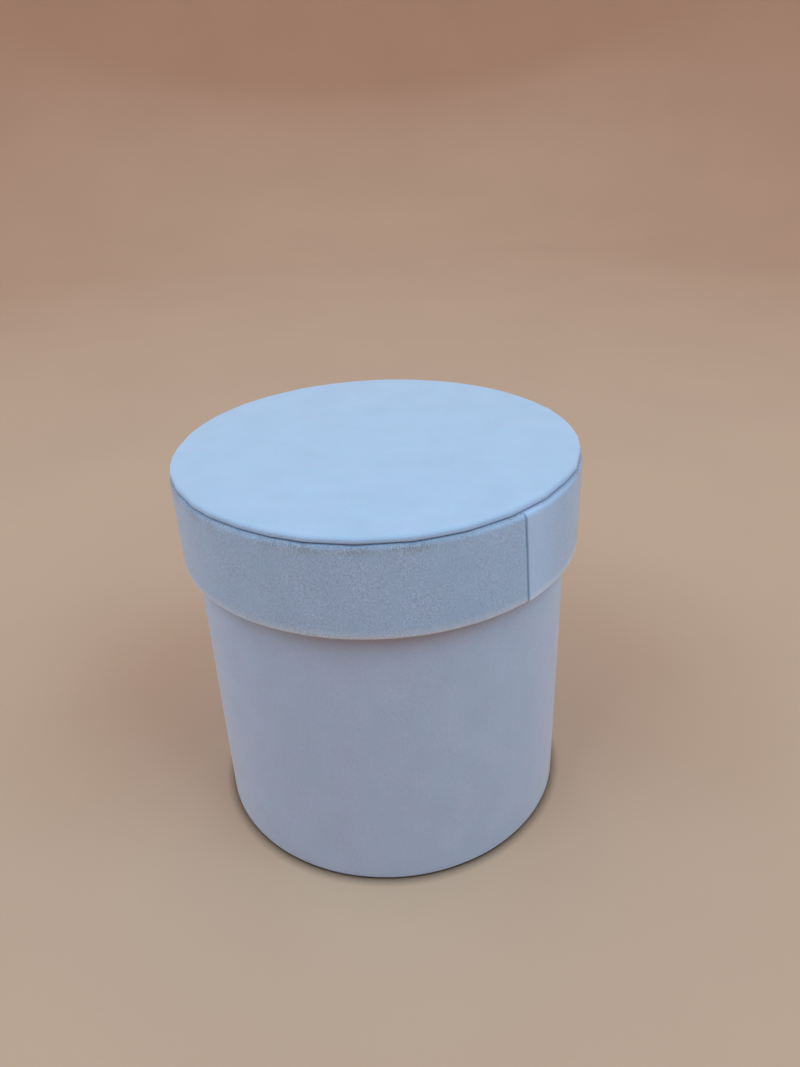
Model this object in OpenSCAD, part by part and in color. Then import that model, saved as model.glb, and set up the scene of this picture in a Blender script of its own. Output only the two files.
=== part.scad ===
// Round keepsake box with a lift-off lid: a card tube and card discs covered in velvet.
// Millimetres, +Z up, lid on. The origin is the centre of the underside and the front is at -Y.

/* [Overall] */
// Outer diameter of the covered lid
lid_d = 120; // [90:1:200]
// Height of the closed box, from its underside to the top of the lid
box_h = 120; // [80:1:220]
// Height of the lid's band, from its lower lip to its shoulder
band_h = 26.9; // [20:0.1:45]
// Running gap all round between the lid's inside and the body
lid_gap = 0.6; // [0.5:0.1:2]

/* [Boards] */
// Thickness of the rolled board in the body and in the lid's band
wall_board_t = 1.8; // [1:0.1:3]
// Thickness of the disc inside the foot of the body
bottom_board_t = 2; // [1:0.1:4]
// Thickness of the disc that closes the lid
crown_board_t = 2; // [1:0.1:4]
// Thickness of the card inside the lid's top panel
panel_board_t = 1; // [0.8:0.1:4]
// Thickness of the paper-faced card that lies on the body's floor
floor_card_t = 0.8; // [0.4:0.1:2]

/* [Velvet] */
// Thickness of the velvet, pile included
velvet_t = 0.5; // [0.4:0.05:0.8]
// Depth to which the body's velvet turns in over the rim
rim_turn_h = 15; // [8:0.5:20]
// Height to which the band's velvet turns up inside the lid
lip_turn_h = 15; // [8:0.5:18]
// Width of the velvet tabs glued under the body's foot
foot_tab_w = 12; // [6:0.5:20]
// Width of the velvet tabs glued over the lid's disc, under the panel
crown_tab_w = 12; // [6:0.5:20]
// Width of the velvet tabs glued under the panel's card
panel_tab_w = 12; // [6:0.5:20]
// Number of tabs in each ring, with a notch between each two
tab_count = 24; // [12:1:36]
// Width of a notch at the inner ends of its tabs
notch_w = 1.6; // [0.6:0.1:3]
// Distance from a fold to the point of each notch
notch_stop = 3; // [2.5:0.1:4]

/* [Seams] */
// Width of the lap where a strip of velvet covers its own start
lap_w = 8; // [4:0.5:16]
// Height of the step at the lap's cut edge
lap_step = 0.25; // [0.1:0.05:0.3]
// Place of the band's cut edge round the lid
lid_seam_angle = -52; // [-180:1:180]
// Place of the wrap's cut edge round the body
body_seam_angle = 90; // [-180:1:180]

/* [Folds] */
// Radius of the velvet where it folds under the foot
foot_fold_r = 0.8; // [0.4:0.1:1.4]
// Radius of the velvet where it folds over the body's rim
rim_fold_r = 0.8; // [0.4:0.1:1.1]
// Radius of the velvet where it folds round the lid's lower lip
lip_fold_r = 0.8; // [0.4:0.1:1.1]
// Radius of the velvet where it folds over the lid's shoulder
shoulder_r = 1.4; // [0.6:0.1:2.2]
// Radius of the panel's soft edge, nearly a full round
panel_edge_r = 1.4; // [0.5:0.1:1.4]
// Distance from the band's outside to the panel's edge
panel_inset = 0.6; // [0.3:0.1:3]

/* [Linings] */
// Thickness of the paper linings
lining_t = 0.2; // [0.15:0.05:0.5]
// Thickness of the disc pasted over the tabs under the foot
pad_t = 0.5; // [0.3:0.1:1.5]
// Distance from the body's outside to the edge of that disc
pad_inset = 3; // [1:0.5:5]

/* [Hidden] */

// Roundness of every revolved piece
$fn = 144;
// Overrun of every cut
over = 1;

velvet_colour = [0.66, 0.71, 0.81];
board_colour = [0.60, 0.57, 0.52];
paper_colour = [0.93, 0.92, 0.88];

// Covered wall: velvet, board, paper lining and the velvet turned in over them
wall_t = velvet_t + wall_board_t + lining_t + velvet_t;

// How far the lap dips into the velvet under it where it goes over a fold
lap_sink = lap_step / 5;

// Radii of the lid, from the outside in
lid_r = lid_d / 2;
lid_board_r = lid_r - velvet_t;
lid_paper_r = lid_board_r - wall_board_t;
lid_bore_r = lid_paper_r - lining_t;
lid_mouth_r = lid_r - wall_t;
panel_r = lid_r - panel_inset;

// Radii of the body, from the outside in
body_r = lid_mouth_r - lid_gap;
body_board_r = body_r - velvet_t;
body_paper_r = body_board_r - wall_board_t;
body_bore_r = body_paper_r - lining_t;
body_mouth_r = body_r - wall_t;

// The panel's edge can't be rounder than its thickness and its velvet allow
panel_t = panel_board_t + 2 * velvet_t;
full_round_share = 0.48;
velvet_round_share = 3;
panel_fold_r = min(panel_edge_r, full_round_share * panel_t, velvet_round_share * velvet_t);

// The board's own edge under the shoulder, and the underside of a lap where it goes over a fold
function under(fold_r, depth) = max(fold_r - depth, lap_sink);
rim_edge_r = min(under(shoulder_r, velvet_t), wall_board_t);

// Heights of the lid, from the top down: the crown disc's paper rests on the body's rim
shoulder_z = box_h - panel_t;
crown_z = shoulder_z - velvet_t;
ceiling_z = crown_z - crown_board_t;
rim_z = ceiling_z - lining_t;
lip_z = shoulder_z - band_h;

// Heights of the body, from the foot up
foot_z = pad_t;
bottom_z = foot_z + velvet_t;
floor_z = bottom_z + bottom_board_t;

// Cross-section of a ring between two radii and two heights
module strip(r_in, r_out, z_low, z_high)
    translate([r_in, z_low])
        square([r_out - r_in, z_high - z_low]);

// What a round fold takes off the corner at r, z: out is 1 on an outer corner and -1 on
// an inner one, and up is 1 on an upper corner and -1 on a lower one
module fold(r, z, radius, out, up)
    translate([r, z])
        mirror([out < 0 ? 1 : 0, 0])
            mirror([0, up < 0 ? 1 : 0])
                translate([-radius, -radius])
                    difference() {
                        square(radius + over);
                        circle(radius);
                    }

// Solid ring or disc, revolved
module ring(r_in, r_out, z_low, z_high)
    rotate_extrude()
        strip(r_in, r_out, z_low, z_high);

// Notches that let a turned-in edge lie flat: one point a fold's width from the edge at r,
// and the open end at the inner ends of the tabs
module notches(r, tab_w, z_low)
    for (i = [0 : tab_count - 1])
        rotate([0, 0, i * 360 / tab_count])
            translate([0, 0, z_low - over])
                linear_extrude(velvet_t + 2 * over)
                    polygon([
                        [r - notch_stop, 0],
                        [r - tab_w, notch_w / 2],
                        [r - tab_w - over, notch_w / 2],
                        [r - tab_w - over, -notch_w / 2],
                        [r - tab_w, -notch_w / 2]
                    ]);

// Cut end of a wrapped strip, lapped over the start: the outer half of the velvet, moved
// sideways so that it parts from the round at the lap's far end and stands proud at the seam
module lap(r, z_low, z_high, low_fold_r, high_fold_r, seam_angle) {
    half_t = velvet_t / 2;
    lap_angle = lap_w / r * 180 / PI;
    slip = lap_step / sin(lap_angle);
    slip_angle = seam_angle + lap_angle - 90;
    intersection() {
        translate([slip * cos(slip_angle), slip * sin(slip_angle), 0])
            rotate_extrude()
                difference() {
                    strip(r - wall_t / 2, r, z_low + lap_sink, z_high - lap_sink);
                    difference() {
                        strip(
                            r - wall_t / 2 - over, r - half_t,
                            z_low + half_t, z_high - half_t
                        );
                        fold(r - half_t, z_low + half_t, under(low_fold_r, half_t), 1, -1);
                        fold(r - half_t, z_high - half_t, under(high_fold_r, half_t), 1, 1);
                    }
                    fold(r, z_low + lap_sink, low_fold_r, 1, -1);
                    fold(r, z_high - lap_sink, high_fold_r, 1, 1);
                }
        rotate([0, 0, seam_angle])
            rotate_extrude(angle = lap_angle)
                strip(r - wall_t, r + over, z_low - over, z_high + over);
    }
}

// Rolled and glued board tube
module body_tube_board()
    color(board_colour)
        ring(body_paper_r, body_board_r, bottom_z, rim_z - velvet_t);

// Disc glued inside the foot of the tube, flush with its lower edge
module body_bottom_board()
    color(board_colour)
        ring(0, body_paper_r, bottom_z, floor_z);

// Paper pasted round the inside of the tube, up to its rim
module body_wall_lining()
    color(paper_colour)
        ring(body_bore_r, body_paper_r, floor_z, rim_z - velvet_t);

// Paper-faced card laid on the bottom disc
module body_floor_lining()
    color(paper_colour)
        ring(0, body_bore_r, floor_z, floor_z + floor_card_t);

// One strip of velvet round the tube, tabbed under the foot and turned in over the rim
module body_velvet_wrap()
    color(velvet_colour) {
        difference() {
            rotate_extrude()
                difference() {
                    union() {
                        strip(body_mouth_r, body_r, foot_z, rim_z);
                        strip(body_r - foot_tab_w, body_r, foot_z, bottom_z);
                    }
                    strip(body_bore_r, body_board_r, bottom_z, rim_z - velvet_t);
                    strip(
                        body_mouth_r - over, body_bore_r + lining_t,
                        bottom_z, rim_z - rim_turn_h
                    );
                    fold(body_r, foot_z, foot_fold_r, 1, -1);
                    fold(body_r, rim_z, rim_fold_r, 1, 1);
                    fold(body_mouth_r, rim_z, rim_fold_r, -1, 1);
                }
            notches(body_r, foot_tab_w, foot_z);
        }
        lap(body_r, foot_z, rim_z, foot_fold_r, rim_fold_r, body_seam_angle);
    }

// Disc pasted over the tabs, on which the box stands
module base_pad()
    color(velvet_colour)
        ring(0, body_r - pad_inset, 0, pad_t);

// Rolled board ring of the lid's band, with its upper edge eased under the velvet
module lid_rim_board()
    color(board_colour)
        rotate_extrude()
            difference() {
                strip(lid_paper_r, lid_board_r, lip_z + velvet_t, crown_z);
                fold(lid_board_r, crown_z, rim_edge_r, 1, 1);
            }

// Disc glued inside the top of the ring, flush with its upper edge
module lid_top_board()
    color(board_colour)
        ring(0, lid_paper_r, ceiling_z, crown_z);

// Paper pasted round the inside of the ring
module lid_wall_lining()
    color(paper_colour)
        ring(lid_bore_r, lid_paper_r, lip_z + velvet_t, ceiling_z);

// Paper under the lid's disc, which rests on the body's rim
module lid_ceiling_lining()
    color(paper_colour)
        ring(0, lid_bore_r, rim_z, ceiling_z);

// One strip of velvet round the ring, turned up inside it and tabbed over the lid's disc
module lid_velvet_band()
    color(velvet_colour) {
        difference() {
            rotate_extrude()
                difference() {
                    union() {
                        strip(lid_mouth_r, lid_r, lip_z, shoulder_z);
                        strip(lid_r - crown_tab_w, lid_r, crown_z, shoulder_z);
                    }
                    difference() {
                        strip(lid_bore_r, lid_board_r, lip_z + velvet_t, crown_z);
                        fold(lid_board_r, crown_z, rim_edge_r, 1, 1);
                    }
                    strip(
                        lid_mouth_r - over, lid_bore_r + lining_t,
                        lip_z + lip_turn_h, crown_z
                    );
                    fold(lid_r, lip_z, lip_fold_r, 1, -1);
                    fold(lid_mouth_r, lip_z, lip_fold_r, -1, -1);
                    fold(lid_r, shoulder_z, shoulder_r, 1, 1);
                }
            notches(lid_r, crown_tab_w, crown_z);
        }
        lap(lid_r, lip_z, shoulder_z, lip_fold_r, shoulder_r, lid_seam_angle);
    }

// Card disc inside the top panel
module lid_panel_board()
    color(board_colour)
        ring(0, panel_r - velvet_t, shoulder_z + velvet_t, box_h - velvet_t);

// Velvet drawn over the panel's card, soft at its edge and tabbed underneath
module lid_panel_velvet()
    color(velvet_colour)
        difference() {
            rotate_extrude()
                difference() {
                    strip(0, panel_r, shoulder_z, box_h);
                    strip(-over, panel_r - velvet_t, shoulder_z + velvet_t, box_h - velvet_t);
                    strip(-over, panel_r - panel_tab_w, shoulder_z - over, box_h - 2 * velvet_t);
                    fold(panel_r, shoulder_z, panel_fold_r, 1, -1);
                    fold(panel_r, box_h, panel_fold_r, 1, 1);
                }
            notches(panel_r, panel_tab_w, shoulder_z);
        }

body_tube_board();
body_bottom_board();
body_wall_lining();
body_floor_lining();
body_velvet_wrap();
base_pad();
lid_rim_board();
lid_top_board();
lid_wall_lining();
lid_ceiling_lining();
lid_velvet_band();
lid_panel_board();
lid_panel_velvet();
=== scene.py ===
"""Looks of a round velvet box with a lift-off lid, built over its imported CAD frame.

The velvet covers, the paper linings, the card in the panel and the disc under the foot are
modelled here as thin closed shells; the other boards keep their CAD shape. Lengths are in metres;
MM turns millimetres into metres. The front of the box is at -Y.
"""
import math
import random
from collections import namedtuple

import bpy
import bmesh
from mathutils import Matrix, Vector, noise


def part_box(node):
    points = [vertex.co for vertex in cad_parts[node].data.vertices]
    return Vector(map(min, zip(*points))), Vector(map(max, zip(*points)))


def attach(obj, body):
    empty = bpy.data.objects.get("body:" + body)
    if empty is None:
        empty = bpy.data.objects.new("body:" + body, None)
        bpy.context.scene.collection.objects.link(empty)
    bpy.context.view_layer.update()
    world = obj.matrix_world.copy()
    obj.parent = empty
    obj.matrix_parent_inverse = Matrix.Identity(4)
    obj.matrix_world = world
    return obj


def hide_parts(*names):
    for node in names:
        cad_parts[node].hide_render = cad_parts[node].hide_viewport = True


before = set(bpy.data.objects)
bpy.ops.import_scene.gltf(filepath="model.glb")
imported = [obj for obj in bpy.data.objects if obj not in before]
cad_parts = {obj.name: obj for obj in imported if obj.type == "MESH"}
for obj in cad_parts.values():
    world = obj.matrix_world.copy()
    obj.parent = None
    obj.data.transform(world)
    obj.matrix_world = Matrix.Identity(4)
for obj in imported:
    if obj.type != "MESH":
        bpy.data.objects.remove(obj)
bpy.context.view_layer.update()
MM = 0.001
FULL_TURN = 2 * math.pi
SAME_PLACE = 1e-7
SAME_ANGLE = 1e-6


# Sizes that the frame gives

def reach(node):
    """A round node's outer radius, and its lowest and highest height."""
    low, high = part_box(node)
    return (high[0] - low[0]) / 2, low[2], high[2]


BAND_R, LIP_Z, SHOULDER_Z = reach("lid_velvet_band")
LID_BOARD_R, LID_BOARD_Z, CROWN_Z = reach("lid_rim_board")
LID_PAPER_R, _, _ = reach("lid_wall_lining")
LID_BORE_R, RIM_Z, CEILING_Z = reach("lid_ceiling_lining")
PANEL_R, _, TOP_Z = reach("lid_panel_velvet")
BODY_R, FOOT_Z, _ = reach("body_velvet_wrap")
BODY_BOARD_R, BOTTOM_Z, TUBE_TOP = reach("body_tube_board")
BODY_PAPER_R, FLOOR_Z, _ = reach("body_wall_lining")
BODY_BORE_R, _, _ = reach("body_floor_lining")
PAD_R, PAD_LOW, PAD_TOP = reach("base_pad")
VELVET_T = BOTTOM_Z - FOOT_Z
LID_MOUTH_R = LID_BORE_R - VELVET_T
BODY_MOUTH_R = BODY_BORE_R - VELVET_T

# Sizes of the folds, tabs and laps, as in the CAD but for the panel's edge, a little tighter here
FOOT_FOLD = 0.8 * MM
RIM_FOLD = 0.8 * MM
LIP_FOLD = 0.8 * MM
SHOULDER_FOLD = 1.4 * MM
PANEL_FOLD = 0.8 * MM
PAD_FOLD = 0.2 * MM
TURN_IN = 15 * MM
TAB_W = 12 * MM
TAB_COUNT = 24
NOTCH_W = 1.6 * MM
NOTCH_STOP = 3 * MM
LID_SEAM = math.radians(-51.8)
BODY_SEAM = math.radians(90)
BODY_PAPER_SEAM = math.radians(118)
LID_PAPER_SEAM = math.radians(64)

# How finely the shells are meshed. NEAR_SEAM is in millimetres past the seam.
COLUMNS_PER_TAB = 14
TAB_ROWS = 4
BEND_ROWS = 7
FINE = 2 * MM
COARSE = 8 * MM
NEAR_SEAM = [
    -1.7, -1.2, -0.8, -0.55, -0.38, -0.24, -0.12, -0.03, 0.03, 0.12, 0.24, 0.4, 0.7, 1.1, 1.6
]
NEAR_REACH = 2.1 * MM
SHARP = math.radians(50)

# How hand-glued covers depart from a true round, and the start of each one's noise
Lap = namedtuple("Lap", "step width cut_w dip dip_w lean")
VELVET_LAP = Lap(0.25 * MM, 8 * MM, 0.3 * MM, 0.14 * MM, 0.5 * MM, 0.086)
STRAIGHT_LAP = VELVET_LAP._replace(lean=0)
PAPER_LAP = Lap(0.15 * MM, 10 * MM, 0.1 * MM, 0, MM, 0)
LEAN_HOLD = 3 * MM
LEAN_FADE = 14 * MM
CUT_LINE_W = 0.3 * MM
SLACK = 0.06 * MM
SLACK_SIZE = 15 * MM
RAGGED = 0.35 * MM
RAGGED_SIZE = 9 * MM
RAGGED_FADE = 4 * MM
BODY_NOISE = 11
BAND_NOISE = 23
PANEL_NOISE = 5
CARD_NOISE = 7
BODY_PAPER_NOISE = 31
LID_PAPER_NOISE = 37
# The corners of the panel's edge that show most in the photograph: degrees from the front, and
# how far out of the round each lies in millimetres
SEEN_CORNERS = [
    (-94, 0.0), (-88, 0.1), (-82, 0.25), (-76, 0.35), (-66, 0.1), (-54, 0.15), (-46, 0.0),
    (-36, -0.1), (-27, 0.05), (-18, 0.25), (-12, 0.0), (-6, 0.3), (-1, 0.0), (7, 0.35), (13, 0.0),
    (20, 0.0), (25, -0.4), (33, -0.4), (39, -0.85), (46, -0.6), (57, -0.75), (66, -0.1), (78, 0.0),
    (87, 0.2), (95, 0.25), (103, 0.3), (111, 0.25), (118, 0.1)
]
KINKS = (-0.1 * MM, 0.1 * MM)
KINK_ANGLES = (4, 8)
KINK_SEED = 5
KINK_START = 54 * MM
PRESSED_W = 22 * MM
# The dark line at the lap's step: partly the backing at the raw edge, partly painted shade
SEAM_DARK = 0.55
# Painted shade in the crease under the panel's edge: its strength and reach
CREASE_SHADE = 0.5
CREASE_W = 0.7 * MM
CREASE_OUT = 0.3 * MM
CREASE_H = 0.65 * MM
# Painted shade on the top of the band's shoulder, beside the panel: its strength and reach
SHOULDER_SHADE = 0.12
SHOULDER_SHADE_W = 0.6 * MM
# Reach of the rough pile near the panel's edge, which also takes a painted highlight on the panel
# and painted shade on the band
RUFFLE_LIGHT_SHADE_W = 0.6 * MM
# Reach of the paler rim and lip: wear, and on the lid's lip also a painted highlight
WEAR_AND_HIGHLIGHT_H = 0.5 * MM
WEAR_AND_HIGHLIGHT_FADE = 0.6 * MM
# How far from what grips it a cover gets its slack back
PAD_GRIP = 2 * MM
PAD_DEPTH = 0.1 * MM
CEILING_GRIP = 1.5 * MM
PANEL_GRIP = MM
CARD_GRIP = 0.5 * MM

# A row's place and outward direction, and how free and how near a cut edge it is, and how much
# wear and painted highlight it takes, from 0 to 1
Row = namedtuple("Row", "r z out_r out_z free edge worn")
# How far a point goes along its outward direction, along the radius, round the axis and up, and
# what it is marked with for the materials: a cut edge with painted shade, pressed pile, and rough
# pile with painted light and shade
Move = namedtuple("Move", "lift out turn rise cut pressed ruffled", defaults=(0,) * 7)
MARKS = ("cut", "pressed", "worn", "ruffled")


def smooth(x):
    """0 below 0, 1 above 1, and a smooth step between."""
    x = min(1.0, max(0.0, x))
    return x * x * (3 - 2 * x)


# Sections: paths of (radius, height) points

def stretch(start, end, step):
    """Points from start to end, both included, about a step apart."""
    count = max(1, round(math.dist(start, end) / step))
    return [tuple(a + (b - a) * i / count for a, b in zip(start, end)) for i in range(count + 1)]


def bend(r, z, radius, first, last, rows=BEND_ROWS):
    """Points of an arc about the centre r, z, from one angle to another in degrees."""
    angles = [math.radians(first + (last - first) * i / rows) for i in range(rows + 1)]
    return [(r + radius * math.cos(a), z + radius * math.sin(a)) for a in angles]


def joined(*stretches):
    """One path from several that follow on, with no point twice."""
    path = []
    for points in stretches:
        for p in points:
            if not path or math.dist(path[-1], p) > SAME_PLACE:
                path.append(p)
    return path


def tab(edge_r, z):
    """The rows of a ring of tabs, from their inner ends to the points of the notches."""
    end_r = edge_r - TAB_W
    apex_r = edge_r - NOTCH_STOP
    return [(end_r + (apex_r - end_r) * i / TAB_ROWS, z) for i in range(TAB_ROWS + 1)]


def always(r, z):
    return 1.0


def never(r, z):
    return 0.0


def rows_of(face, back, free=always, edge=never, worn=never):
    """The rows of a closed section: its face, with outward directions, and its glued back.
    free(r, z) says how far the face may leave its place, edge(r, z) how near the ragged cut
    edge of the turned-in strip is, and the last function how rubbed the pile is and, on the lid's
    lip, how much painted highlight it takes, all from 0 to 1."""
    loop = face + back
    turned = sum(a[0] * b[1] - b[0] * a[1] for a, b in zip(loop, loop[1:] + loop[:1]))
    side = math.copysign(1, turned)
    rows = []
    for i, (r, z) in enumerate(face):
        a, b = face[max(0, i - 1)], face[min(len(face) - 1, i + 1)]
        d = math.dist(a, b)
        out = side * (b[1] - a[1]) / d, side * (a[0] - b[0]) / d
        rows.append(Row(r, z, *out, free(r, z), edge(r, z), worn(r, z)))
    return rows + [Row(r, z, 0, 0, 0, edge(r, z), 0) for r, z in back]


# Angles of a shell's columns

def even_columns():
    """Angles round a shell, a whole number to each tab."""
    count = TAB_COUNT * COLUMNS_PER_TAB
    return [FULL_TURN * i / count for i in range(count)]


def from_angle(angle, start):
    """The turn from one angle to another, from minus to plus half a turn."""
    return (angle - start + math.pi) % FULL_TURN - math.pi


def seam_columns(seam, r):
    """Angles round a lapped shell, closer together about its seam."""
    near = [(seam + d * MM / r) % FULL_TURN for d in NEAR_SEAM]
    notches = [FULL_TURN * i / TAB_COUNT for i in range(TAB_COUNT)]
    kept = [a for a in notches if abs(from_angle(a, seam)) * r < NEAR_REACH]
    far = [a for a in even_columns() if abs(from_angle(a, seam)) * r > NEAR_REACH]
    return sorted(far + near + kept)


# Departures from a true round: functions of a row and an angle that give a Move

def plain(row, angle):
    """Keeps to the round."""
    return Move()


def slack(row, angle, seed):
    """The slight unevenness of glued cloth or paper."""
    at = Vector((row.r * math.cos(angle), row.r * math.sin(angle), row.z)) / SLACK_SIZE
    return row.free * SLACK * noise.noise(at + Vector((seed, 0, 0)))


def ragged(row, angle, seed):
    """The waviness of a strip's cut edge."""
    return row.edge * RAGGED * noise.noise(Vector((angle * row.r / RAGGED_SIZE, seed, 0)))


def lapped(lap, seam, mid_z, seed):
    """A strip that laps its own start, with a cut edge that may lean."""
    def shape(row, angle):
        d = from_angle(angle, seam) * row.r
        hold = smooth((LEAN_FADE - abs(d)) / (LEAN_FADE - LEAN_HOLD))
        over = math.sin(min(1.0, max(0.0, d / lap.cut_w)) * math.pi / 2)
        lift = lap.step * over * smooth(1 - d / lap.width)
        if d < 0:
            lift -= lap.dip * math.exp(-(d / lap.dip_w) ** 2)
        else:
            lift -= lap.dip * (1 - over)
        return Move(
            lift=row.free * lift + slack(row, angle, seed),
            turn=lap.lean * (mid_z - row.z) * hold / row.r,
            rise=ragged(row, angle, seed),
            # A thin dark line at the lap's step: partly the backing showing at the raw edge,
            # partly painted shade
            cut=SEAM_DARK * row.free * math.exp(-((d + CUT_LINE_W / 2) / CUT_LINE_W) ** 2),
            pressed=over * smooth(1 - d / PRESSED_W),
        )
    return shape


def kinks(seed):
    """The corners of the panel's edge: angles from the front with offsets. Those at the back,
    which hardly show in the photograph, are made up."""
    rng = random.Random(seed)
    corners = [(math.radians(angle), offset * MM) for angle, offset in SEEN_CORNERS]
    start = corners[0][0] + FULL_TURN
    angle = corners[-1][0] + math.radians(rng.uniform(*KINK_ANGLES))
    while angle < start - math.radians(KINK_ANGLES[0]):
        corners.append((angle, rng.uniform(*KINKS)))
        angle += math.radians(rng.uniform(*KINK_ANGLES))
    return corners + [(start, corners[0][1])]


CORNERS = kinks(KINK_SEED)


def facet(angle):
    """How far the panel's edge, straight from corner to corner, lies out of the round."""
    start = CORNERS[0][0]
    turn = (angle + math.pi / 2 - start) % FULL_TURN + start
    for (a, off_a), (b, off_b) in zip(CORNERS, CORNERS[1:]):
        if a <= turn <= b:
            x = (turn - a) / (b - a)
            sag = PANEL_R * (1 - math.cos((b - a) / 2))
            return off_a + (off_b - off_a) * x - sag * 4 * x * (1 - x)
    return 0.0


def drawn(seed):
    """A cover drawn over the card: its outline runs in short straight lengths. The foot of its
    edge is darkened with painted shade into the crease, and below its top its edge is rougher and
    takes a paler, bluer tone, which is a painted highlight."""
    def shape(row, angle):
        near_edge = smooth((row.r - KINK_START) / (PANEL_R - KINK_START))
        return Move(
            lift=slack(row, angle, seed), out=near_edge * facet(angle),
            cut=CREASE_SHADE * smooth((SHOULDER_Z + CREASE_H - row.z) / CREASE_H),
            ruffled=smooth((TOP_Z - row.z) / RUFFLE_LIGHT_SHADE_W)
        )
    return shape


def beside_panel(shape):
    """The band's cover: painted shade darkens the top of its shoulder a little and, more, the
    crease where it goes under the panel's edge; next to that edge its pile is rougher and takes a
    grey tone, which is painted shade."""
    def creased(row, angle):
        move = shape(row, angle)
        if row.z < SHOULDER_Z - SHOULDER_FOLD:
            return move
        reach_in = PANEL_R + facet(angle) + CREASE_OUT - row.r
        shoulder_shade = SHOULDER_SHADE * smooth((row.z - SHOULDER_Z + SHOULDER_FOLD) / SHOULDER_SHADE_W)
        crease = CREASE_SHADE * smooth(reach_in / CREASE_W)
        beside = smooth((reach_in + RUFFLE_LIGHT_SHADE_W) / RUFFLE_LIGHT_SHADE_W)
        return move._replace(cut=max(move.cut, shoulder_shade, crease), ruffled=beside / 2)
    return creased


# Meshes

def revolve(name, rows, angles, shape=plain, tabbed=False):
    """A closed shell: a loop of rows turned round the axis. Where it is tabbed, its first rows
    and its last ones are cut by notches."""
    mesh = bmesh.new()
    layers = [mesh.verts.layers.float.new(mark) for mark in MARKS]
    last = len(rows) - 1
    pitch = FULL_TURN / TAB_COUNT

    def depth(i):
        return max(0, TAB_ROWS - min(i, last - i)) if tabbed else 0

    def on_notch(angle):
        return abs(angle / pitch - round(angle / pitch)) < SAME_ANGLE

    def point(i, angle, side):
        row = rows[i]
        move = shape(row, angle)
        if depth(i):
            gap = NOTCH_W * depth(i) / TAB_ROWS / row.r
            middle = (math.floor(angle / pitch + SAME_ANGLE) + side / 2) * pitch
            angle = middle + (angle - middle) * (1 - gap / pitch)
        angle += move.turn
        r = row.r + row.out_r * move.lift + move.out
        z = row.z + row.out_z * move.lift + move.rise
        vert = mesh.verts.new((r * math.cos(angle), r * math.sin(angle), z))
        marks = (move.cut, move.pressed, row.worn, move.ruffled)
        for layer, mark in zip(layers, marks):
            vert[layer] = mark
        return vert

    def columns(i):
        """The two vertices of each column, one where no notch parts them."""
        if rows[i].r < SAME_PLACE:
            pole = mesh.verts.new((0, 0, rows[i].z))
            return [(pole, pole)] * len(angles)
        pairs = []
        for angle in angles:
            after = point(i, angle, 1)
            before = point(i, angle, -1) if depth(i) and on_notch(angle) else after
            pairs.append((before, after))
        return pairs

    def face(*corners):
        corners = list(dict.fromkeys(corners))
        if len(corners) > 2:
            mesh.faces.new(corners)

    grid = [columns(i) for i in range(len(rows))]
    for low, high in zip(grid, grid[1:] + grid[:1]):
        for j in range(len(angles)):
            k = (j + 1) % len(angles)
            face(low[j][1], low[k][0], high[k][0], high[j][1])
    for j, angle in enumerate(angles):
        if tabbed and on_notch(angle):
            for i in range(TAB_ROWS):
                for side in (0, 1):
                    face(*(grid[row][j][side] for row in (i, i + 1, last - 1 - i, last - i)))
    bmesh.ops.recalc_face_normals(mesh, faces=mesh.faces)
    data = bpy.data.meshes.new(name)
    mesh.to_mesh(data)
    mesh.free()
    data.shade_smooth()
    data.set_sharp_from_angle(angle=SHARP)
    piece = bpy.data.objects.new(name, data)
    bpy.context.scene.collection.objects.link(piece)
    return piece


# Materials

def add(tree, kind, inputs=(), **settings):
    """A new shader node. inputs pairs each socket with a value, or with an output to link."""
    made = tree.nodes.new("ShaderNode" + kind)
    for key, value in settings.items():
        setattr(made, key, value)
    for socket, value in inputs:
        if isinstance(value, bpy.types.NodeSocket):
            tree.links.new(value, made.inputs[socket])
        else:
            made.inputs[socket].default_value = value
    return made


def speckle(tree, sizes, detail=2.0, roughness=0.5, seed=0.0):
    """Noise from 0 to 1 whose grains have these sizes along X, Y and Z."""
    place = add(tree, "TexCoord").outputs["Object"]
    scale = [1 / size for size in sizes]
    mapped = add(tree, "Mapping", [("Vector", place), ("Scale", scale), ("Location", [seed] * 3)])
    inputs = [
        ("Vector", mapped.outputs["Vector"]), ("Scale", 1.0),
        ("Detail", detail), ("Roughness", roughness)
    ]
    return add(tree, "TexNoise", inputs).outputs["Fac"]


def level(tree, value, low, high, start=0.3, end=0.7):
    """A value from start to end, spread over low to high."""
    inputs = [
        ("Value", value), ("From Min", start), ("From Max", end), ("To Min", low), ("To Max", high)
    ]
    return add(tree, "MapRange", inputs).outputs["Result"]


def product(tree, a, b):
    return add(tree, "Math", [(0, a), (1, b)], operation="MULTIPLY").outputs[0]


def tinted(tree, colour, strength):
    """A colour, or an output that gives one, made lighter or darker."""
    if not isinstance(colour, bpy.types.NodeSocket):
        colour = colour[:3]
    inputs = [(0, colour), ("Scale", strength)]
    return add(tree, "VectorMath", inputs, operation="SCALE").outputs[0]


def mixed(tree, a, b, share):
    """Colour a with a share of colour b."""
    inputs = [("Factor", share), ("A", a), ("B", b)]
    return add(tree, "Mix", inputs, data_type="RGBA").outputs["Result"]


def new_material(name, **sockets):
    """A new material and its shader, with these values on the shader's sockets."""
    made = bpy.data.materials.new(name)
    made.use_nodes = True
    shader = made.node_tree.nodes["Principled BSDF"]
    for socket, value in sockets.items():
        shader.inputs[socket.replace("_", " ")].default_value = value
    return made, made.node_tree, shader


def bump(tree, shader, height, distance, strength):
    inputs = [("Height", height), ("Distance", distance), ("Strength", strength)]
    tree.links.new(add(tree, "Bump", inputs).outputs["Normal"], shader.inputs["Normal"])


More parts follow.
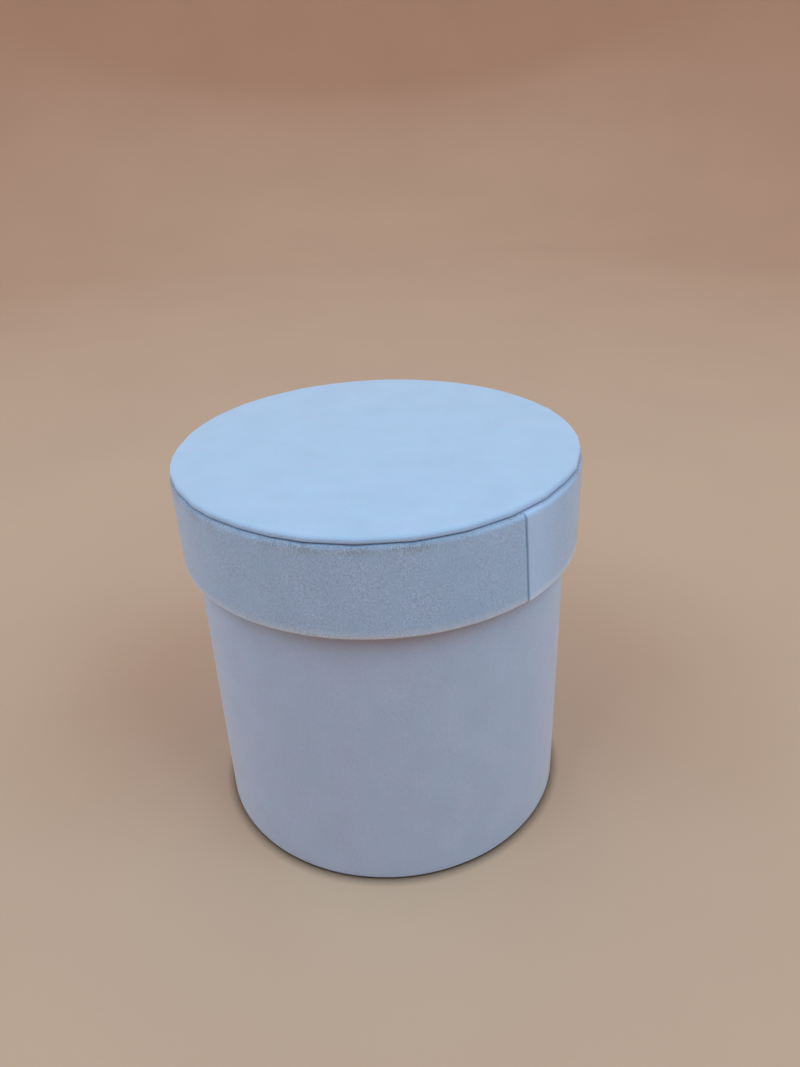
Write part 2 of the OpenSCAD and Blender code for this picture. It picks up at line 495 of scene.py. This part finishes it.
# Tones of one velvet for the panel, band and body. They differ slightly: partly the pile lying
# differently on each piece, partly painted light and shade, as each was set to how its piece looks
# under these lamps.
TOP_VELVET = (0.335, 0.50, 0.70, 1)
BAND_VELVET = (0.335, 0.50, 0.735, 1)
BODY_VELVET = (0.38, 0.525, 0.745, 1)
# Edge tones, painted light: a paler, bluer painted highlight on the panel's rolled edge, and a
# grey painted shade on the band beside the crease
TOP_EDGE_HIGHLIGHT = (0.375, 0.59, 0.91, 1)
BAND_CREASE_SHADE = (0.25, 0.28, 0.33, 1)
# The velvet's backing, shown at a cut edge, and also the colour of the painted shade at the seam,
# in the crease and on the shoulder
VELVET_BACKING_AND_SHADE = (0.05, 0.20, 0.40, 1)
# Paler pile where it is worn; on the lid's lip this is also a painted highlight
VELVET_WEAR_AND_HIGHLIGHT = (0.57, 0.68, 0.84, 1)
HUE_SHIFT = (1.045, 0.98, 1.0)
HUE_PATCH = 9 * MM
PILE_ACROSS = 0.27 * MM
PILE_ALONG = 0.6 * MM
PILE_BUMP = 0.05 * MM
GRAIN_SHARES = (0.5, 1.3)
CLOUD = 11 * MM
CLOUD_TONES = (0.975, 1.025)
PRESSED_GAIN = 1.2
PRESSED_FLAT = 0.8
RUFFLED_GAIN = 3.5


def velvet(name, base, painted_edge_tone, sizes, contrast, relief):
    """Short matt pile whose grain has these sizes along X, Y and Z. It is darker, towards the
    backing colour, at a cut edge and where painted shade lies: at the seam's step, in the crease
    under the panel and on the shoulder. It is paler where it is worn and, on the lid's lip, where
    a painted highlight lies; paler and smoother where it was pressed; and rough and of the edge
    tone where the ruffled mark lies, which is a painted highlight on the panel's edge and painted
    shade beside the crease on the band."""
    made, tree, shader = new_material(
        name, Roughness=0.9, Specular_IOR_Level=0.15,
        Sheen_Weight=0.6, Sheen_Roughness=0.4, Sheen_Tint=(0.9, 0.94, 1, 1)
    )
    pile = speckle(tree, sizes, detail=2.5, roughness=0.65)
    cloud = speckle(tree, [CLOUD] * 3, detail=1.5, seed=4.0)
    cut, pressed, worn, ruffled = (
        add(tree, "Attribute", attribute_name=name).outputs["Fac"] for name in MARKS
    )
    patch = speckle(tree, [HUE_PATCH] * 3, detail=2.0, seed=8.0)
    depth = product(
        tree, level(tree, patch, *(share * contrast for share in GRAIN_SHARES)),
        product(
            tree, level(tree, pressed, 1, 1 - PRESSED_FLAT, 0, 1),
            level(tree, ruffled, 1, RUFFLED_GAIN, 0, 1)
        )
    )
    grain = product(tree, level(tree, pile, -1, 1), depth)
    grain = add(tree, "Math", [(0, grain), (1, 1)], operation="ADD").outputs[0]
    strength = product(tree, grain, level(tree, cloud, *CLOUD_TONES))
    strength = product(tree, strength, level(tree, pressed, 1, PRESSED_GAIN, 0, 1))
    shifted = [channel * gain for channel, gain in zip(base, (*HUE_SHIFT, 1))]
    colour = mixed(tree, base, shifted, level(tree, patch, 0, 1))
    colour = mixed(tree, colour, painted_edge_tone, ruffled)
    colour = tinted(tree, mixed(tree, colour, VELVET_WEAR_AND_HIGHLIGHT, worn), strength)
    colour = mixed(tree, colour, VELVET_BACKING_AND_SHADE, cut)
    tree.links.new(colour, shader.inputs["Base Color"])
    bump(tree, shader, pile, PILE_BUMP, relief)
    return made


PAPER = (0.93 ** 2.2, 0.92 ** 2.2, 0.88 ** 2.2, 1)
PAPER_FIBRE = (0.60, 0.57, 0.50, 1)
FIBRE_SIZES = (0.25 * MM, 0.25 * MM, 1.4 * MM)
FIBRE_BUMP = 0.03 * MM
PAPER_CLOUD = 6 * MM
PAPER_TONES = (0.965, 1.0)


def paper(name):
    """Off-white pasted paper with faint fibres."""
    made, tree, shader = new_material(name, Roughness=0.8, Specular_IOR_Level=0.3)
    fibre = speckle(tree, FIBRE_SIZES, detail=3.0, roughness=0.7)
    cloud = speckle(tree, [PAPER_CLOUD] * 3, detail=2.0, seed=9.0)
    colour = tinted(tree, PAPER, level(tree, cloud, *PAPER_TONES))
    colour = mixed(tree, colour, PAPER_FIBRE, level(tree, fibre, 0, 0.25, 0.62, 0.8))
    tree.links.new(colour, shader.inputs["Base Color"])
    bump(tree, shader, fibre, FIBRE_BUMP, 0.4)
    return made


BOARD = (0.60 ** 2.2, 0.57 ** 2.2, 0.52 ** 2.2, 1)
BOARD_FLECK = (0.16, 0.13, 0.10, 1)
FLECK = 0.5 * MM
FLECK_BUMP = 0.05 * MM
BOARD_CLOUD = 5 * MM
BOARD_TONES = (0.92, 1.06)


def greyboard(name):
    """Raw board pressed from waste paper: mottled and flecked."""
    made, tree, shader = new_material(name, Roughness=0.88, Specular_IOR_Level=0.2)
    fleck = speckle(tree, [FLECK] * 3, detail=3.0, roughness=0.7, seed=2.0)
    cloud = speckle(tree, [BOARD_CLOUD] * 3, detail=3.0, seed=6.0)
    colour = tinted(tree, BOARD, level(tree, cloud, *BOARD_TONES))
    colour = mixed(tree, colour, BOARD_FLECK, level(tree, fleck, 0, 0.5, 0.64, 0.75))
    tree.links.new(colour, shader.inputs["Base Color"])
    bump(tree, shader, fleck, FLECK_BUMP, 0.5)
    return made


FLOCK = (0.62 ** 2.2, 0.67 ** 2.2, 0.78 ** 2.2, 1)
NAP = 0.3 * MM
NAP_BUMP = 0.06 * MM
NAP_TONES = (0.92, 1.06)
WEAR = 7 * MM
WEAR_TONES = (1.0, 1.1)


def flock(name):
    """Flocked card: a short even nap, worn pale in small patches where it stands."""
    made, tree, shader = new_material(
        name, Roughness=0.95, Specular_IOR_Level=0.1,
        Sheen_Weight=0.3, Sheen_Roughness=0.5, Sheen_Tint=(0.86, 0.92, 1, 1)
    )
    nap = speckle(tree, [NAP] * 3, detail=2.0, roughness=0.6, seed=1.0)
    wear = speckle(tree, [WEAR] * 3, detail=3.0, seed=3.0)
    strength = product(
        tree, level(tree, nap, *NAP_TONES), level(tree, wear, *WEAR_TONES, 0.5, 0.75)
    )
    tree.links.new(tinted(tree, FLOCK, strength), shader.inputs["Base Color"])
    bump(tree, shader, nap, NAP_BUMP, 0.6)
    return made


UPRIGHT = (PILE_ACROSS, PILE_ACROSS, PILE_ALONG)
LYING = (PILE_ACROSS, PILE_ALONG, PILE_ACROSS)
BODY_FINISH = velvet("body_velvet", BODY_VELVET, BODY_VELVET, UPRIGHT, 0.10, 0.25)
BAND_FINISH = velvet("band_velvet", BAND_VELVET, BAND_CREASE_SHADE, UPRIGHT, 0.22, 0.4)
TOP_FINISH = velvet("top_velvet", TOP_VELVET, TOP_EDGE_HIGHLIGHT, LYING, 0.04, 0.2)
LINING_PAPER = paper("lining_paper")
GREYBOARD = greyboard("greyboard")
FLOCK_CARD = flock("flock_card")


def dress(piece, body, slot, material, *nodes):
    """The piece rides on a body in place of the nodes, with its material."""
    piece.data.materials.append(material)
    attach(piece, body)
    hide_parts(*nodes)


# The body's velvet: tabs under the foot, wall, rim and turned-in strip

def turned_in(r, cut_z):
    """How near a point of a strip's inner side is to its cut edge."""
    def edge(point_r, z):
        return smooth(1 - abs(z - cut_z) / RAGGED_FADE) if abs(point_r - r) < 2 * VELVET_T else 0.0
    return edge


def body_free(r, z):
    """The wrap is held under the pad and under the lid's ceiling."""
    under = smooth((r - PAD_R) / PAD_GRIP) if z < FOOT_Z + PAD_DEPTH else 1.0
    return under * smooth((RIM_Z - z) / CEILING_GRIP)


def worn_rim(r, z):
    """How rubbed the pile is towards the top of the rim."""
    return smooth((z - RIM_Z + WEAR_AND_HIGHLIGHT_H + WEAR_AND_HIGHLIGHT_FADE) / WEAR_AND_HIGHLIGHT_FADE)


BODY_CUT_Z = RIM_Z - TURN_IN
body_face = joined(
    tab(BODY_R, FOOT_Z),
    bend(BODY_R - FOOT_FOLD, FOOT_Z + FOOT_FOLD, FOOT_FOLD, -90, 0),
    stretch((BODY_R, FOOT_Z + FOOT_FOLD), (BODY_R, RIM_Z - RIM_FOLD), FINE),
    bend(BODY_R - RIM_FOLD, RIM_Z - RIM_FOLD, RIM_FOLD, 0, 90),
    bend(BODY_MOUTH_R + RIM_FOLD, RIM_Z - RIM_FOLD, RIM_FOLD, 90, 180),
    stretch((BODY_MOUTH_R, RIM_Z - RIM_FOLD), (BODY_MOUTH_R, BODY_CUT_Z), FINE),
)
body_back = joined(
    stretch((BODY_BORE_R, BODY_CUT_Z), (BODY_BORE_R, TUBE_TOP), COARSE),
    stretch((BODY_BORE_R, TUBE_TOP), (BODY_BOARD_R, TUBE_TOP), COARSE),
    stretch((BODY_BOARD_R, TUBE_TOP), (BODY_BOARD_R, BOTTOM_Z), COARSE),
    tab(BODY_R, BOTTOM_Z)[::-1],
)
body_velvet = revolve(
    "body_velvet",
    rows_of(body_face, body_back, body_free, turned_in(BODY_MOUTH_R, BODY_CUT_Z), worn_rim),
    seam_columns(BODY_SEAM, BODY_R), lapped(STRAIGHT_LAP, BODY_SEAM, 0, BODY_NOISE), tabbed=True
)
dress(body_velvet, "body", "velvet", BODY_FINISH, "body_velvet_wrap")


# The lid's band: tabs over the disc, shoulder, wall, lip and turned-up strip

def band_free(r, z):
    """The band is held under the panel."""
    over_shoulder = z > SHOULDER_Z - SHOULDER_FOLD
    return smooth((r - PANEL_R + PANEL_FOLD) / PANEL_GRIP) if over_shoulder else 1.0


def lip_wear_and_highlight(r, z):
    """How rubbed the pile is towards the bottom of the lip, and how much painted highlight it
    takes there.
    """
    return smooth((LIP_Z + WEAR_AND_HIGHLIGHT_H + WEAR_AND_HIGHLIGHT_FADE - z) / WEAR_AND_HIGHLIGHT_FADE)


BAND_CUT_Z = LIP_Z + TURN_IN
band_face = joined(
    tab(BAND_R, SHOULDER_Z),
    stretch((BAND_R - NOTCH_STOP, SHOULDER_Z), (BAND_R - SHOULDER_FOLD, SHOULDER_Z), FINE / 4),
    bend(BAND_R - SHOULDER_FOLD, SHOULDER_Z - SHOULDER_FOLD, SHOULDER_FOLD, 90, 0),
    stretch((BAND_R, SHOULDER_Z - SHOULDER_FOLD), (BAND_R, LIP_Z + LIP_FOLD), FINE),
    bend(BAND_R - LIP_FOLD, LIP_Z + LIP_FOLD, LIP_FOLD, 0, -90),
    bend(LID_MOUTH_R + LIP_FOLD, LIP_Z + LIP_FOLD, LIP_FOLD, -90, -180),
    stretch((LID_MOUTH_R, LIP_Z + LIP_FOLD), (LID_MOUTH_R, BAND_CUT_Z), FINE),
)
band_back = joined(
    stretch((LID_BORE_R, BAND_CUT_Z), (LID_BORE_R, LID_BOARD_Z), COARSE),
    stretch((LID_BORE_R, LID_BOARD_Z), (LID_BOARD_R, LID_BOARD_Z), COARSE),
    stretch((LID_BOARD_R, LID_BOARD_Z), (LID_BOARD_R, CROWN_Z), COARSE),
    tab(BAND_R, CROWN_Z)[::-1],
)
band_lap = lapped(VELVET_LAP, LID_SEAM, (LIP_Z + SHOULDER_Z) / 2, BAND_NOISE)
band_velvet = revolve(
    "band_velvet",
    rows_of(band_face, band_back, band_free, turned_in(LID_MOUTH_R, BAND_CUT_Z), lip_wear_and_highlight),
    seam_columns(LID_SEAM, BAND_R), beside_panel(band_lap), tabbed=True
)
dress(band_velvet, "lid", "velvet", BAND_FINISH, "lid_velvet_band")


# The panel's velvet: tabs under the card, soft edge and top

def panel_free(r, z):
    """The panel's cover is held underneath."""
    return smooth((z - SHOULDER_Z) / CARD_GRIP)


panel_face = joined(
    tab(PANEL_R, SHOULDER_Z),
    bend(PANEL_R - PANEL_FOLD, SHOULDER_Z + PANEL_FOLD, PANEL_FOLD, -90, 0),
    bend(PANEL_R - PANEL_FOLD, TOP_Z - PANEL_FOLD, PANEL_FOLD, 0, 90),
    stretch((PANEL_R - PANEL_FOLD, TOP_Z), (0, TOP_Z), FINE),
)
CARD_R = PANEL_R - VELVET_T
CARD_LOW = SHOULDER_Z + VELVET_T
CARD_TOP = TOP_Z - VELVET_T
panel_back = joined(
    stretch((0, CARD_TOP), (CARD_R, CARD_TOP), COARSE),
    stretch((CARD_R, CARD_TOP), (CARD_R, CARD_LOW), COARSE),
    tab(PANEL_R, CARD_LOW)[::-1],
)
panel_velvet = revolve(
    "panel_velvet", rows_of(panel_face, panel_back, panel_free), even_columns(),
    drawn(PANEL_NOISE), tabbed=True
)
dress(panel_velvet, "lid", "velvet", TOP_FINISH, "lid_panel_velvet")


# The card inside the panel, hand-cut to the outline of its cover

card_face = joined(
    stretch((0, CARD_LOW), (CARD_R, CARD_LOW), COARSE),
    stretch((CARD_R, CARD_LOW), (CARD_R, CARD_TOP), FINE),
)
panel_card = revolve(
    "panel_card", rows_of(card_face, stretch((CARD_R, CARD_TOP), (0, CARD_TOP), COARSE), never),
    even_columns(), drawn(CARD_NOISE)
)
dress(panel_card, "lid", "board", GREYBOARD, "lid_panel_board")


# Paper linings, each pasted round with an overlap

def lining(name, bore_r, paper_r, low_z, high_z, seam, seed):
    """A ring of paper against the inside of a tube."""
    face = stretch((bore_r, high_z), (bore_r, low_z), FINE)
    back = [(paper_r, low_z), (paper_r, high_z)]
    return revolve(
        name, rows_of(face, back), seam_columns(seam, bore_r), lapped(PAPER_LAP, seam, 0, seed)
    )


body_paper = lining(
    "body_paper", BODY_BORE_R, BODY_PAPER_R, FLOOR_Z, TUBE_TOP, BODY_PAPER_SEAM, BODY_PAPER_NOISE
)
dress(body_paper, "body", "lining_paper", LINING_PAPER, "body_wall_lining")
lid_paper = lining(
    "lid_paper", LID_BORE_R, LID_PAPER_R, LID_BOARD_Z, CEILING_Z, LID_PAPER_SEAM, LID_PAPER_NOISE
)
dress(lid_paper, "lid", "lining_paper", LINING_PAPER, "lid_wall_lining")


# The disc under the foot

pad_face = joined(
    stretch((0, PAD_LOW), (PAD_R - PAD_FOLD, PAD_LOW), FINE),
    bend(PAD_R - PAD_FOLD, PAD_LOW + PAD_FOLD, PAD_FOLD, -90, 0),
)
pad_back = [(PAD_R, PAD_TOP), (0, PAD_TOP)]
foot_disc = revolve("foot_disc", rows_of(pad_face, pad_back, never), even_columns())
dress(foot_disc, "body", "pad", FLOCK_CARD, "base_pad")


# The boards and the flat linings keep their CAD shape

FINISHES = {
    "body_tube_board": GREYBOARD, "body_bottom_board": GREYBOARD, "lid_rim_board": GREYBOARD,
    "lid_top_board": GREYBOARD,
    "body_floor_lining": LINING_PAPER, "lid_ceiling_lining": LINING_PAPER,
}
for node, finish in FINISHES.items():
    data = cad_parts[node].data
    data.materials.clear()
    data.materials.append(finish)


# Studio: a pale floor that curves up into a backdrop, under a soft sky. The camera sees them
# paler than they are for the light that they throw back, and light from the sky passes the
# backdrop.

def to_eye(tree):
    """1 for a ray that comes straight to the camera, off a gloss or through glass, else 0."""
    path = add(tree, "LightPath")
    seen = path.outputs["Is Camera Ray"]
    for kind in ("Is Glossy Ray", "Is Transmission Ray"):
        pair = [(0, seen), (1, path.outputs[kind])]
        seen = add(tree, "Math", pair, operation="MAXIMUM").outputs[0]
    return seen


FLOOR_R = 1.0
CURVE_R = 0.5
CURVE_ROWS = 40
BACKDROP_H = 2.5
STAGE_T = 0.01
PALE = (0.48, 0.35, 0.265, 1)
TABLE = (0.42, 0.30, 0.22, 1)
STAGE_CLOUD = 0.12
STAGE_TONES = (0.98, 1.02)
CONTACT_W = 3.2 * MM
CONTACT_POWER = 1.3
CONTACT_SAMPLES = 2

stage_finish, stage_tree, stage_shader = new_material(
    "pale_stage", Roughness=0.85, Specular_IOR_Level=0.2
)
stage_cloud = speckle(stage_tree, [STAGE_CLOUD] * 3, detail=3.0, seed=5.0)
stage_colour = mixed(stage_tree, TABLE, PALE, to_eye(stage_tree))
stage_colour = tinted(stage_tree, stage_colour, level(stage_tree, stage_cloud, *STAGE_TONES))
stage_tree.links.new(stage_colour, stage_shader.inputs["Base Color"])
backdrop_finish = stage_finish.copy()
backdrop_finish.name = "pale_backdrop"
tree = backdrop_finish.node_tree
clear = add(tree, "BsdfTransparent").outputs[0]
shown = add(
    tree, "MixShader",
    [(0, to_eye(tree)), (1, clear), (2, tree.nodes["Principled BSDF"].outputs[0])]
)
tree.links.new(shown.outputs[0], tree.nodes["Material Output"].inputs["Surface"])

# Painted contact shadow: an ambient occlusion node darkens the floor's colour softly where the box
# stands on it
contact = add(
    stage_tree, "AmbientOcclusion", [("Distance", CONTACT_W)], samples=CONTACT_SAMPLES
).outputs["AO"]
contact = add(stage_tree, "Math", [(0, contact), (1, CONTACT_POWER)], operation="POWER").outputs[0]
stage_colour = tinted(stage_tree, stage_colour, contact)
stage_tree.links.new(stage_colour, stage_shader.inputs["Base Color"])

floor = revolve(
    "floor", rows_of([(0, 0), (FLOOR_R, 0)], [(FLOOR_R, -STAGE_T), (0, -STAGE_T)], never),
    even_columns()
)
floor.data.materials.append(stage_finish)
backdrop_face = joined(
    bend(FLOOR_R, CURVE_R, CURVE_R, -90, 0, CURVE_ROWS), [(FLOOR_R + CURVE_R, BACKDROP_H)]
)
backdrop_back = [(r + STAGE_T, z - STAGE_T) for r, z in reversed(backdrop_face)]
backdrop = revolve("backdrop", rows_of(backdrop_face, backdrop_back, never), even_columns())
backdrop.data.materials.append(backdrop_finish)

FILL = (0.54, 0.24, 0.157, 1)
world = bpy.data.worlds.new("warm_fill")
world.use_nodes = True
tree = world.node_tree
fill = mixed(tree, FILL, PALE, to_eye(tree))
tree.links.new(fill, tree.nodes["Background"].inputs["Color"])
bpy.context.scene.world = world

# Each softbox: degrees from the front and above the floor, and its power
SOFTBOXES = {
    "left_box": (-55, 50, 7.3), "right_box": (55, 50, 9.6),
    "left_rim": (-110, 45, 3.5), "right_rim": (110, 45, 2.1), "back_box": (180, 30, 2.6),
}
BOX_SIZE = 0.8
BOX_FAR = 1.3
BOX_COLOUR = (0.52, 0.884, 1.0)
for name, (turn, height, power) in SOFTBOXES.items():
    turn, height = math.radians(turn), math.radians(height)
    away = Vector((
        math.sin(turn) * math.cos(height), -math.cos(turn) * math.cos(height), math.sin(height)
    ))
    lamp_data = bpy.data.lights.new(name, "AREA")
    lamp_data.size = BOX_SIZE
    lamp_data.energy = power
    lamp_data.color = BOX_COLOUR
    lamp = bpy.data.objects.new(name, lamp_data)
    lamp.location = Vector((0, 0, TOP_Z / 2)) + BOX_FAR * away
    lamp.rotation_euler = away.to_track_quat("Z", "Y").to_euler()
    lamp.visible_camera = False
    bpy.context.scene.collection.objects.link(lamp)


# Camera: fitted to the lid's and the foot's outlines in the photograph, in lid radii and radians

PHOTO_SIZE = (800, 1067)
FOCAL_PX = 836.14
CAMERA_BACK = 3.84552
CAMERA_UP = 3.54496
PITCH = 0.49269
YAW = 0.02599
ROLL = -0.04188
FILM = 36
CLIP_START = 0.01

ahead = Vector((math.sin(YAW), math.cos(YAW), 0))
forward = math.cos(PITCH) * ahead - math.sin(PITCH) * Vector((0, 0, 1))
level_right = Vector((math.cos(YAW), -math.sin(YAW), 0))
level_up = level_right.cross(forward)
right = math.cos(ROLL) * level_right + math.sin(ROLL) * level_up
up = math.cos(ROLL) * level_up - math.sin(ROLL) * level_right
lens = bpy.data.cameras.new("camera")
lens.sensor_fit = "VERTICAL"
lens.sensor_height = FILM
lens.lens = FILM * FOCAL_PX / PHOTO_SIZE[1]
lens.clip_start = CLIP_START
camera = bpy.data.objects.new("camera", lens)
axes = Matrix((right, up, -forward)).transposed().to_4x4()
camera.matrix_world = Matrix.Translation((0, -CAMERA_BACK * BAND_R, CAMERA_UP * BAND_R)) @ axes
bpy.context.scene.collection.objects.link(camera)
bpy.context.scene.camera = camera
bpy.context.scene.view_settings.view_transform = "Standard"
